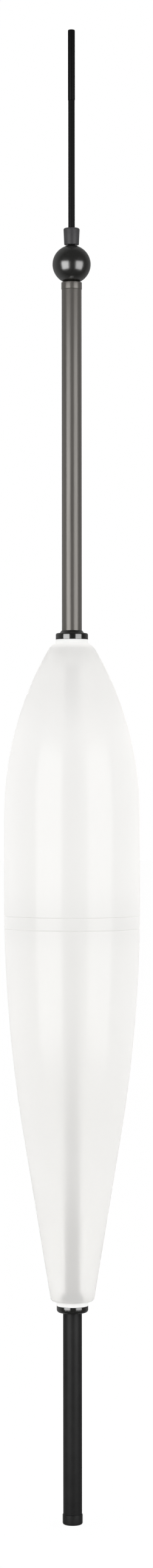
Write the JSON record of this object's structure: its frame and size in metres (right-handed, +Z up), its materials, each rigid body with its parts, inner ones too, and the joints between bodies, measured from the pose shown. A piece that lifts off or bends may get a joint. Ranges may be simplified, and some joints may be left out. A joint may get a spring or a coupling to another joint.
{
  "type": "casting float",
  "caption": "Slim through-line casting float: milky torpedo body on a core tube, pull-up filling stem with plug and seals, spinning bead, sliding sleeve and pull-out antenna.",
  "frame": {"origin": "centre of the lower end, on the float's axis", "axes": "+Z up the float's axis, from the tail stem to the antenna; +X and +Y across it"},
  "size_m": [0.0212, 0.0212, 0.2334],
  "materials": {
    "antenna_black": "smooth black tube",
    "sleeve_grey": "matt grey silicone",
    "bead_black": "polished olive black",
    "stem_gunmetal": "satin gunmetal anodising",
    "bush_white": "natural acetal",
    "collar_black": "glossy moulded black",
    "seal_white": "white silicone",
    "o_ring_clear": "clear silicone",
    "shell_milky": "milky translucent moulding",
    "core_dark": "dark drawn tube",
    "tail_black": "matt black",
    "ballast_brass": "turned"
  },
  "bodies": {
    "float_body": {"upper_shell": "shell_milky", "joint_spider": "shell_milky", "lower_shell": "shell_milky", "core_tube": "core_dark", "core_stop": "bush_white", "lower_seal": "seal_white", "lower_collar": "collar_black", "lower_stem": "tail_black", "ballast": "ballast_brass", "line_guide": "tail_black"},
    "fill_stem": {"upper_stem": "stem_gunmetal", "bead_seat": "stem_gunmetal", "guide_bush": "bush_white", "upper_collar": "collar_black", "upper_seal": "seal_white", "upper_o_ring": "o_ring_clear"},
    "bead": {"bead": "bead_black"},
    "antenna": {"antenna_rod": "antenna_black", "antenna_tip": "antenna_black"},
    "sleeve": {"antenna_sleeve": "sleeve_grey"}
  },
  "joints": [
    {"name": "stem_pull", "type": "slide", "parent": "float_body", "child": "fill_stem", "axis": [0, 0, 1], "range_m": [0, 0.008]},
    {"name": "bead_spin", "type": "hinge", "parent": "fill_stem", "child": "bead", "pos_m": [0, 0, 0.1968], "axis": [0, 0, 1], "continuous": true},
    {"name": "antenna_pull", "type": "slide", "parent": "fill_stem", "child": "antenna", "axis": [0, 0, 1], "range_m": [0, 0.0085]},
    {"name": "sleeve_slide", "type": "slide", "parent": "antenna", "child": "sleeve", "axis": [0, 0, 1], "range_m": [0, 0.02]}
  ]
}
